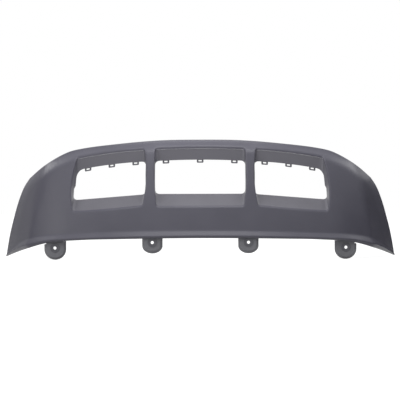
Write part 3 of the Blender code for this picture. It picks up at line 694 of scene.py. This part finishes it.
def lip_points(columns, out, down):
    """Row of lip points, out along the plan's normal and down by a share of the lip's height."""
    flat = layout(columns, 0.0)
    x, z = flat[:, 0], flat[:, 1]
    direction = plan_normal(x, z)
    direction[columns == 0] = (0, -1, 0)
    drop = down / LIP_NOMINAL * curve_at(LIP_TALL, x)
    flare = lerp(1, TIP_FLARE, smooth((x - FLARE_FADE[0]) / (FLARE_FADE[1] - FLARE_FADE[0])))
    points = face_points(flat) + direction * out * flare[:, None]
    points[:, 2] -= drop
    return points


# %% Top flange
TOP_FLANGE = 30 * MM
TOP_FLANGE_END = 10 * MM
TOP_FLANGE_FALL = 3 * MM
TOP_ROUND = 4 * MM


def flange_points(columns):
    """Rear edge of the flange that runs back from the top edge, shallower towards the corner."""
    flat = layout(columns, 1.0)
    x, z = flat[:, 0], flat[:, 1]
    narrow = smooth((x - BAND_FADE_START) / (CORNER_X - BAND_FADE_START))
    back = -plan_normal(x, z) * lerp(TOP_FLANGE, TOP_FLANGE_END, narrow)[:, None]
    back[columns == 0, 0] = 0
    return face_points(flat) + back - np.array([0, 0, TOP_FLANGE_FALL])


# %% Rows and rings of the skin
EDGE_RADIUS = 4.5 * MM
WINDOW_RETURN = 3.5 * MM
ROUND_STEPS = 6
CELL_RINGS = 7
LOWER_ROWS = 10
UPPER_ROWS = 9
FLANGE_ROWS = 3
# Columns are packed round the crease, which lies at column 2, from 1.8 to 2.25
CREASE_BAND = (1.8, 2.25)
CHEEK_STEPS = 12
CREASE_STEPS = 18
TIP_STEPS = 16
CHEEK = np.linspace(1, CREASE_BAND[0], CHEEK_STEPS + 1)[1:]
CREASE = np.linspace(*CREASE_BAND, CREASE_STEPS + 1)[1:]
TIP = np.linspace(CREASE_BAND[1], 3, TIP_STEPS + 1)[1:]
WING_COLUMNS = np.concatenate([CHEEK, CREASE, TIP])


def window_rings(paths):
    """Rings from the face, round the window's edge and back along its return."""
    face, rear, out = paths
    start = face_points(face[:, [0, 2]] + out * EDGE_RADIUS)
    back = unit(rear - face)
    rings = bend_through(start, face, face + back * EDGE_RADIUS, ROUND_STEPS)
    return rings + [face + back * (EDGE_RADIUS + WINDOW_RETURN)]


def face_columns():
    """Columns of the right half, from the middle of the part to the outer edge."""
    centre = lerp(-PILLAR_COLUMN, PILLAR_COLUMN, SHARES_X[LONG_STEPS // 2 :])
    centre[0] = 0.0
    side = lerp(PILLAR_COLUMN, 1, SHARES_X[1:])
    return np.concatenate([centre, side, WING_COLUMNS])


def lower_rows(columns):
    """Rows from the lip's return, round its nose, up to its root fillet and to the foot of the windows."""
    rows = [lip_points(columns, out, down) for out, down in LIP_SECTION]
    nose, root = LIP_SECTION[-1], np.zeros(2)
    fillet = root + unit(nose - root) * LIP_FILLET
    for k in range(1, LIP_TOP_STEPS):
        rows.append(lip_points(columns, *lerp(nose, fillet, k / LIP_TOP_STEPS)))
    foot, _ = cell_rows(columns)
    low = layout(columns, 0.0)[:, 1]
    tall = layout(columns, 1.0)[:, 1] - low
    start = LIP_FILLET / tall
    above = face_points(layout(columns, start))
    rows += bend_through(lip_points(columns, *fillet), lip_points(columns, 0, 0), above, FILLET_STEPS)
    for k in range(1, LOWER_ROWS + 1):
        rows.append(face_points(layout(columns, lerp(start, foot, k / LOWER_ROWS))))
    return rows


def upper_rows(columns):
    """Rows from the head of the windows to the top edge, over its round and back along the flange."""
    _, head = cell_rows(columns)
    tall = layout(columns, 1.0)[:, 1] - layout(columns, 0.0)[:, 1]
    end = 1 - TOP_ROUND / tall
    rows = []
    for k in range(UPPER_ROWS):
        rows.append(face_points(layout(columns, lerp(head, end, k / UPPER_ROWS))))
    edge, rear = face_points(layout(columns, 1.0)), flange_points(columns)
    start = edge + unit(rear - edge) * TOP_ROUND
    rows += bend_through(face_points(layout(columns, end)), edge, start, FILLET_STEPS)
    return rows + [lerp(start, rear, k / FLANGE_ROWS) for k in range(1, FLANGE_ROWS + 1)]


print("columns in the right half:", len(face_columns()))

# %% Build the fascia skin


def build_fascia():
    """The right half of the skin as a quilt of grids, mirrored to the left."""
    sheet = bmesh.new()
    columns = face_columns()
    add_grid(sheet, lower_rows(columns))
    add_grid(sheet, upper_rows(columns))
    wing = columns[columns >= 1]
    low, high = cell_rows(wing)
    add_grid(sheet, [face_points(layout(wing, lerp(low, high, s))) for s in SHARES_Z])
    half = LONG_STEPS // 2
    centre = ("centre", CENTRE_PATHS, -PILLAR_COLUMN, PILLAR_COLUMN)
    side = ("side", SIDE_PATHS, PILLAR_COLUMN, 1.0)
    for name, paths, first, last in (centre, side):
        cell = cell_ring(first, last)
        rings = window_rings(paths)
        edge = rings[0][:, [0, 2]]
        rows = [face_points(lerp(cell, edge, k / CELL_RINGS)) for k in range(CELL_RINGS)] + rings
        if name == "centre":
            rows = [row[half : half + LONG_STEPS + TALL_STEPS + 1] for row in rows]
            for row in rows:
                row[[0, -1], 0] = 0
        add_grid(sheet, rows, closed=name == "side")
    return finish_piece("fascia_skin", sheet, wall=WALL, both_halves=True)


fascia = build_fascia()
print("fascia skin:", len(fascia.data.polygons), "quads in its right half")

# %% [markdown]
# ## The window linings
#
# A lining is a funnel with a wall of its own. Solidify would thicken it unevenly where the corners are
# tight, so the section is closed by hand: rings run back along the inside, and come forward again along
# the outside, one wall further out. The lining starts a little outside the skin's return, so that its rim
# hides in that shadow and no bright line shows along the joint.

# %% Build the window linings
LINING_STEPS = 8
RIM_SLOPE = 0.8
SET_BACK = 0.8 * MM


def outward(ring, back):
    """Directions out of the funnel, square to its wall, at the points of a ring."""
    return unit(np.cross(back, np.roll(ring, -1, 0) - np.roll(ring, 1, 0)))


def lining_rings(paths):
    """Rings round a lining's section, back along the inside and forward along the outside."""
    face, rear, _ = paths
    back = unit(rear - face)
    start = face + back * (EDGE_RADIUS + WINDOW_RETURN + CLEARANCE)
    start = start + outward(start, back) * SET_BACK
    inside = [lerp(start, rear, k / LINING_STEPS) for k in range(LINING_STEPS + 1)]
    outside = []
    for ring in inside:
        outside.append(ring + outward(ring, back) * WALL)
    outside[0] = outside[0] + back * RIM_SLOPE * WALL
    return inside + outside[::-1] + inside[:1]


for place in ("centre", "right", "left"):
    solid = bmesh.new()
    add_grid(solid, lining_rings(CENTRE_PATHS if place == "centre" else SIDE_PATHS), closed=True)
    lining = finish_piece("window_surround_" + place, solid, mirrored=place == "left")
    print(lining.name, len(lining.data.polygons), "quads")

# %% [markdown]
# ## The snap loops
#
# A loop is a strip of plastic laid on the back of the recess panel, bent down past its edge, with an eye
# that a hook of the grille springs into. The eye makes it a ring of quads between two rounded
# rectangles, and its upper side carries the strip.

# %% Loop sizes
LOOP_INSET = 37.8 * MM
OUTER_LOOP_INSET = 52 * MM
LOOP_WIDTH = 22 * MM
LOOP_LAP = 9 * MM
LOOP_NECK = 1.0 * MM
LOOP_EYE = 4.4 * MM
LOOP_BAR = 4.6 * MM
LOOP_SIDE = 5.4 * MM
LOOP_WALL = 3 * MM
LOOP_CORNER = 3 * MM
EYE_CORNER = 1.4 * MM
LOOP_CORNER_STEPS = 4
LOOP_SIDE_STEPS = 3
print("a loop hangs down by, mm:", round((LOOP_NECK + LOOP_EYE + LOOP_BAR) / MM, 1))

# %% Shape of a loop


def panel_edge(paths, x):
    """Rear edge of a recess panel at x, and the directions down the panel and along its edge."""
    face, rear, _ = paths
    head = np.flatnonzero(rear[:, 2] > (SILL_Z + HEAD_Z) / 2)
    head = head[np.argsort(rear[head, 0])]
    k = np.searchsorted(rear[head, 0], x)
    a, b = head[k - 1], head[k]
    t = (x - rear[a, 0]) / (rear[b, 0] - rear[a, 0])
    edge = lerp(rear[a], rear[b], t)
    return edge, unit(edge - lerp(face[a], face[b], t)), unit(rear[b] - rear[a])


def rounded_box(left, right, foot, head, radius):
    """Outline of a box with rounded lower corners, run from the upper left round to the upper right."""
    points = [(left, lerp(head, foot + radius, k / LOOP_SIDE_STEPS)) for k in range(LOOP_SIDE_STEPS)]
    for x, start in ((left + radius, math.pi), (right - radius, 1.5 * math.pi)):
        for k in range(LOOP_CORNER_STEPS + 1):
            angle = start + 0.5 * math.pi * k / LOOP_CORNER_STEPS
            points.append((x + radius * math.cos(angle), foot + radius + radius * math.sin(angle)))
    climb = [k / LOOP_SIDE_STEPS for k in range(1, LOOP_SIDE_STEPS + 1)]
    points += [(right, lerp(foot + radius, head, t)) for t in climb]
    top = [(lerp(right, left, k / LOOP_SIDE_STEPS), head) for k in range(1, LOOP_SIDE_STEPS)]
    return points + top


def build_loop(node, paths, x, mirrored):
    """A loop at x on a window's recess panel: the ring round its eye and the strip above it."""
    edge, down, along = panel_edge(paths, x)
    out = unit(np.cross(along, down))
    out = -out if out[1] < 0 else out
    lap = edge + out * (WALL + CLEARANCE)
    neck = lap + down * CLEARANCE
    hang = np.array([0, 0, 1.0])
    drop = LOOP_NECK + LOOP_EYE + LOOP_BAR
    half, eye = LOOP_WIDTH / 2, LOOP_WIDTH / 2 - LOOP_SIDE
    outer = rounded_box(-half, half, -drop, 0.0, LOOP_CORNER)
    inner = rounded_box(-eye, eye, -LOOP_NECK - LOOP_EYE, -LOOP_NECK, EYE_CORNER)
    sheet = bmesh.new()
    rings = [[neck + along * a + hang * h for a, h in ring] for ring in (outer, inner)]
    add_grid(sheet, rings, closed=True)
    shares = np.linspace(-half, half, LOOP_SIDE_STEPS + 1)
    rows = [[base + along * s for s in shares] for base in (neck, lap - down * LOOP_LAP)]
    add_grid(sheet, rows)
    return finish_piece(node, sheet, wall=LOOP_WALL, mirrored=mirrored)


# %% Build the snap loops
centre_x = CENTRE_HALF - LOOP_INSET
for place, x in (("left", -centre_x), ("middle", 0.0), ("right", centre_x)):
    build_loop("snap_loop_centre_" + place, CENTRE_PATHS, x, False)
inner_x = CENTRE_HALF + PILLAR + LOOP_INSET
outer_x = CENTRE_HALF + PILLAR + SIDE_WIDTH - OUTER_LOOP_INSET
for hand in ("left", "right"):
    for place, x in (("inner", inner_x), ("middle", (inner_x + outer_x) / 2), ("outer", outer_x)):
        build_loop(f"snap_loop_{hand}_{place}", SIDE_PATHS, x, hand == "left")
print("loops:", sum("loop" in piece.name for piece in made))

# %% [markdown]
# ## The screw tabs and their sleeves
#
# Each tab hangs behind the lip: a flat plate with a round foot, a skirt that flares back from its rim to
# stiffen it, and a toe that lies on the lip's return. A nylon sleeve lines its hole. The plate is a ring
# of quads between its rim and the hole, and the sleeve is a profile turned about the hole's axis.

# %% Tab sizes
TAB_WALL = 3 * MM
TAB_HALF = {"inner": 26 * MM, "outer": 29 * MM}
ARC_BELOW_HOLE = {"inner": 11 * MM, "outer": 5 * MM}
PLATE_BELOW_HOLE = {"inner": 27 * MM, "outer": 32 * MM}
SKIRT_BELOW_HOLE = {"inner": 36.5 * MM, "outer": 39.4 * MM}
TAB_FOOT_LAP = 7 * MM
SKIRT_DEPTH = 10 * MM
SKIRT_FLARE = 7.6 * MM
SKIRT_BEND = 0.4
HOLE_RADIUS = 5 * MM
SLEEVE_WALL = 1.7 * MM
TAB_SIDE_STEPS = 6
TAB_ARC_STEPS = 32
TAB_TOP_STEPS = 12
PLATE_RINGS = 4
LIP_SAMPLES = 3
print("tab widths, mm:", [round(2 * (half + SKIRT_FLARE) / MM, 1) for half in TAB_HALF.values()])

# %% Shape of a tab


def column_at(x):
    """Column of the lip line at x."""
    return np.interp(x, [0, CELL_EDGE, CREASE_FOOT_X, TIP_X], [0, 1, 2, 3])


def tab_outline(x, half, arc_z, foot_z, lip_foot):
    """Outline (x, z) of a tab, from the lip down the left side, round the foot and up the right side."""
    sides = []
    for side in (x - half, x + half):
        start = lip_foot(side)
        sides.append([(side, lerp(start, arc_z, k / TAB_SIDE_STEPS)) for k in range(TAB_SIDE_STEPS)])
    angles = math.pi * (1 + np.linspace(0, 1, TAB_ARC_STEPS + 1))
    arc = [(x + half * math.cos(a), arc_z + (arc_z - foot_z) * math.sin(a)) for a in angles]
    return np.array(sides[0] + arc + sides[1][::-1])


def build_tab(hand, place):
    """A tab round the hole of its sleeve: plate, skirt and toe."""
    low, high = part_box(f"tab_sleeve_right_{place}")
    x, hole_z = (low.x + high.x) / 2, (low.z + high.z) / 2
    half = TAB_HALF[place]
    front = high.y - LIP_LINE_Y - TAB_WALL
    arc_z = hole_z - ARC_BELOW_HOLE[place]

    def lip_return(at):
        return lip_points(np.array([column_at(at)]), *LIP_SECTION[0])[0]

    def lip_top(at):
        return lip_return(at)[2] + WALL + CLEARANCE

    def lip_foot(at):
        reach = np.linspace(at, at + SKIRT_FLARE + TAB_WALL, LIP_SAMPLES)
        return min(lip_return(near)[2] for near in reach) - CLEARANCE

    plate = tab_outline(x, half, arc_z, hole_z - PLATE_BELOW_HOLE[place], lip_foot)
    skirt = tab_outline(x, half + SKIRT_FLARE, arc_z, hole_z - SKIRT_BELOW_HOLE[place], lip_foot)
    skirt[:, 1] = np.minimum(skirt[:, 1], plate[:, 1])
    top_xs = x + half * np.linspace(1, -1, TAB_TOP_STEPS + 1)
    top = np.array([(at, lip_top(at)) for at in top_xs])
    boundary = np.concatenate([plate, top])
    hole_at = np.array([x, hole_z])
    hole = hole_at + unit(boundary - hole_at) * (HOLE_RADIUS + SLEEVE_WALL + CLEARANCE)

    def at_depth(flat, y):
        return np.insert(flat, 1, front + y, axis=1)

    sheet = bmesh.new()
    rings = [at_depth(lerp(boundary, hole, k / PLATE_RINGS), 0) for k in range(PLATE_RINGS + 1)]
    add_grid(sheet, rings, closed=True)
    front_edge, rear_edge = at_depth(plate, 0), at_depth(skirt, SKIRT_DEPTH)
    add_grid(sheet, [rear_edge, lerp(front_edge, rear_edge, SKIRT_BEND), front_edge])
    foot = at_depth(top[::-1], 0)
    toe = foot.copy()
    toe[:, 1] = [lip_return(at)[1] - TAB_FOOT_LAP for at in top_xs[::-1]]
    add_grid(sheet, [foot, toe])
    return finish_piece(f"mounting_tab_{hand}_{place}", sheet, wall=TAB_WALL, mirrored=hand == "left")


# %% Sleeve profile and the tabs
DISH_RADIUS = 10.5 * MM
DISH_DEPTH = 0.8 * MM
SLEEVE_RIM = 0.4 * MM
HOLE_STEPS = 48


def build_sleeve(hand, place):
    """A flanged bush, dished round its bore, turned about the hole's axis."""
    low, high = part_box(f"tab_sleeve_right_{place}")
    x, z = (low.x + high.x) / 2, (low.z + high.z) / 2
    front, rear = low.y - LIP_LINE_Y, high.y - LIP_LINE_Y
    flange = (high.x - low.x) / 2
    seat = rear - TAB_WALL - CLEARANCE
    tube = HOLE_RADIUS + SLEEVE_WALL
    profile = [(HOLE_RADIUS, front + DISH_DEPTH), (DISH_RADIUS, front + DISH_DEPTH)]
    profile += [(DISH_RADIUS + DISH_DEPTH, front), (flange, front), (flange, seat)]
    profile += [(tube, seat), (tube, rear), (HOLE_RADIUS, rear)]
    solid = bmesh.new()
    rings = []
    for k in range(HOLE_STEPS):
        angle = 2 * math.pi * k / HOLE_STEPS
        rings.append([(x + r * math.cos(angle), y, z + r * math.sin(angle)) for r, y in profile])
    add_grid(solid, rings + rings[:1], closed=True)
    bmesh.ops.remove_doubles(solid, verts=solid.verts, dist=WELD)
    bmesh.ops.recalc_face_normals(solid, faces=solid.faces)
    return finish_piece(f"tab_sleeve_{hand}_{place}", solid, mirrored=hand == "left", rim=SLEEVE_RIM)


for hand in ("left", "right"):
    for place in ("inner", "outer"):
        tab = build_tab(hand, place)
        build_sleeve(hand, place)
        print(tab.name, len(tab.data.polygons), "quads")

# %% [markdown]
# ## The wing flanges
#
# Behind each outer edge stands an angle strip, which the wheel-arch liner is clipped to. It doesn't show
# from the front. One leg stands back from the face and one turns inwards, with a rounded bend between.

# %% Build the wing flanges
WING_LAP = 14 * MM
WING_INSET = 4 * MM
WING_DEPTH = 20 * MM
WING_WALL = 2.5 * MM
WING_BEND = 4 * MM
WING_REACH = 0.3
EDGE_STEP = 0.02
OUTER_COLUMN = 3.0


def build_wing_flange(hand):
    """An angle strip that follows the outer edge at the height of the windows."""
    low, high = cell_rows(np.array(1.0))
    shares = lerp(low, high, SHARES_Z)
    edge = face_points(layout(OUTER_COLUMN, shares))
    inward = unit(face_points(layout(OUTER_COLUMN - WING_REACH, shares)) - edge)
    above = face_points(layout(OUTER_COLUMN, shares + EDGE_STEP))
    below = face_points(layout(OUTER_COLUMN, shares - EDGE_STEP))
    normal = unit(np.cross(above - below, inward))
    seat = edge + inward * WING_INSET - normal * (WALL + 2 * CLEARANCE)
    bend = seat - normal * WING_DEPTH
    lap = bend + inward * WING_LAP
    corner = bend_through(bend + inward * WING_BEND, bend, bend + normal * WING_BEND, FILLET_STEPS)
    sheet = bmesh.new()
    add_grid(sheet, [lap] + corner + [seat])
    return finish_piece("wing_flange_" + hand, sheet, wall=WING_WALL, mirrored=hand == "left")


for hand in ("left", "right"):
    flange = build_wing_flange(hand)
    print(flange.name, len(flange.data.polygons), "quads")

# %% [markdown]
# ## Floor, background and light
#
# The part stands in a white studio. The floor and the world look white to the camera and in reflections,
# through the Light Path node, while the light that falls on the part comes from an even fill and a few
# softboxes, at a level at which its colour renders about as it is written. The floor is matt and glows a
# little less than white, so it still takes the part's shadow.

# %% Floor
FLOOR_SIZE = 16
FLOOR_GLOW = 0.84
FLOOR_SHADE = hex_colour("#a0a0a0")


def seen_directly(tree):
    """1 for camera, mirror and transmitted rays, 0 for the light that falls on the part."""
    path = add_node(tree, "ShaderNodeLightPath", {}, {})
    rays = {0: path["Is Camera Ray"], 1: path["Is Glossy Ray"]}
    seen = add_node(tree, "ShaderNodeMath", {"operation": "MAXIMUM"}, rays)
    rays = {0: seen["Value"], 1: path["Is Transmission Ray"]}
    return add_node(tree, "ShaderNodeMath", {"operation": "MAXIMUM"}, rays)["Value"]


floor_mesh = bpy.data.meshes.new("studio_floor")
edge = FLOOR_SIZE / 2
corners = [(-edge, -edge, 0), (edge, -edge, 0), (edge, edge, 0), (-edge, edge, 0)]
floor_mesh.from_pydata(corners, [], [(0, 1, 2, 3)])
floor = bpy.data.objects.new("studio_floor", floor_mesh)
bpy.context.scene.collection.objects.link(floor)
floor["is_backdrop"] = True
paper = bpy.data.materials.new("white_paper")
paper.use_nodes = True
tree = paper.node_tree
tree.nodes.remove(tree.nodes["Principled BSDF"])
level = add_node(tree, "ShaderNodeMath", {"operation": "MULTIPLY"}, {0: seen_directly(tree), 1: FLOOR_GLOW})
glow = add_node(tree, "ShaderNodeEmission", {}, {"Strength": level["Value"]})
matt = add_node(tree, "ShaderNodeBsdfDiffuse", {}, {"Color": FLOOR_SHADE})
both = add_node(tree, "ShaderNodeAddShader", {}, {0: glow["Emission"], 1: matt["BSDF"]})
tree.links.new(both["Shader"], tree.nodes["Material Output"].inputs["Surface"])
floor_mesh.materials.append(paper)
print("floor edge, m:", FLOOR_SIZE)

# %% World
WORLD_FILL = 0.85
WHITE = hex_colour("#ffffff")

world = bpy.data.worlds.new("white_studio")
bpy.context.scene.world = world
world.use_nodes = True
tree = world.node_tree
fill = tree.nodes["Background"]
fill.inputs["Color"].default_value = WHITE
fill.inputs["Strength"].default_value = WORLD_FILL
white = add_node(tree, "ShaderNodeBackground", {}, {"Color": WHITE, "Strength": 1.0})
sides = {0: seen_directly(tree), 1: fill.outputs["Background"], 2: white["Background"]}
view = add_node(tree, "ShaderNodeMixShader", {}, sides)
tree.links.new(view["Shader"], tree.nodes["World Output"].inputs["Surface"])
print("world fill:", WORLD_FILL)

# %% [markdown]
# ## Flags beside the part
#
# A white room all round would make both side panels as bright as the front, because plastic mirrors most
# at a glancing angle. A photographer stands a card there. The right one is black, so that side goes dark
# as in the photograph, and the left one is pale grey. They are stage, and the camera doesn't see them.

# %% Flags
# Each flag's place across, its reach from near to far and its height in metres, and its shade
FLAGS = {
    "right_flag": (1.15, (-1.6, 1.6), 0.5, "#0c0c0c"),
    "left_flag": (-1.25, (-0.6, 1.6), 0.8, "#d0d0d0"),
}
for name, (x, (near, far), top, shade) in FLAGS.items():
    card = bpy.data.meshes.new(name)
    corners = [(x, near, 0), (x, far, 0), (x, far, top), (x, near, top)]
    card.from_pydata(corners, [], [(0, 1, 2, 3)])
    flag = bpy.data.objects.new(name, card)
    flag.visible_camera = False
    bpy.context.scene.collection.objects.link(flag)
    flag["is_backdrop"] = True
    cloth = bpy.data.materials.new(name + "_cloth")
    cloth.use_nodes = True
    dull = cloth.node_tree.nodes["Principled BSDF"]
    dull.inputs["Base Color"].default_value = hex_colour(shade)
    dull.inputs["Roughness"].default_value = 1.0
    card.materials.append(cloth)
print("flags:", list(FLAGS))

# %% [markdown]
# ## Softboxes
#
# Area lamps give wide, soft highlights. One hangs overhead for the band and the sills, two stand in front,
# high and low, to the left, and a small one at each shoulder draws the gleam on the wing's upper corner.

# %% Softboxes
# Each softbox's place and size in metres, and its power in watts. They all look at the middle of the part.
SOFTBOXES = {
    "overhead_softbox": ((0.0, -0.35, 1.05), (0.9, 0.5), 5.5),
    "front_softbox": ((-0.9, -2.6, 2.2), (1.6, 1.2), 9),
    "low_left_softbox": ((-2.2, -1.8, 0.8), (1.2, 1.2), 12),
    "right_shoulder_softbox": ((1.4, 0.3, 1.2), (0.5, 0.4), 5),
    "left_shoulder_softbox": ((-1.4, 0.3, 1.2), (0.5, 0.4), 5),
}
AIM = Vector((0, 0, 0.2))
for name, (place, size, power) in SOFTBOXES.items():
    lamp = bpy.data.lights.new(name, "AREA")
    lamp.shape = "RECTANGLE"
    lamp.size, lamp.size_y = size
    lamp.energy = power
    light = bpy.data.objects.new(name, lamp)
    light.location = place
    light.rotation_euler = (AIM - light.location).to_track_quat("-Z", "Y").to_euler()
    bpy.context.scene.collection.objects.link(light)
print("softboxes:", list(SOFTBOXES))

# %% [markdown]
# ## The camera
#
# The photograph is taken from straight in front, a little above the middle of the part, with a long lens.
# The camera's place comes from how the part fills the picture. A slight shift and a very slight roll put
# the part's middle and its level where they lie there.

# %% Camera
# Lengths in metres, angles in radians, and the lens as it would be measured in the picture's pixels
CAMERA_BEFORE_LIP = 3.47
CAMERA_HEIGHT = 0.2153
CAMERA_TILT = math.radians(0.3)
PICTURE_PIXELS = 400
FOCAL_PIXELS = 1071.5
SENSOR = 36.0
OFF_CENTRE_PIXELS = -0.25
CAMERA_ROLL = 0.003

camera_data = bpy.data.cameras.new("photo_camera")
camera_data.sensor_width = SENSOR
camera_data.lens = FOCAL_PIXELS / PICTURE_PIXELS * SENSOR
camera_data.shift_x = OFF_CENTRE_PIXELS / PICTURE_PIXELS
camera = bpy.data.objects.new("photo_camera", camera_data)
camera.location = (0, LIP_LINE_Y - CAMERA_BEFORE_LIP, CAMERA_HEIGHT)
camera.rotation_euler = (math.pi / 2 - CAMERA_TILT, CAMERA_ROLL, 0)
bpy.context.scene.collection.objects.link(camera)
bpy.context.scene.camera = camera
bpy.context.scene.view_settings.view_transform = "Standard"
print("lens, mm:", round(camera_data.lens, 1))

# %% [markdown]
# ## Sizes
#
# The room that the finished pieces leave inside the CAD model's box is printed for each side. The
# finished pieces have to stay inside the CAD model's box.

# %% Print the sizes and finish
bpy.context.view_layer.update()
new_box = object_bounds()
room = [round(v, 5) for v in (*(new_box[0] - cad_box[0]), *(cad_box[1] - new_box[1]))]
print("pieces:", len(made), "room left inside the CAD box:", room)
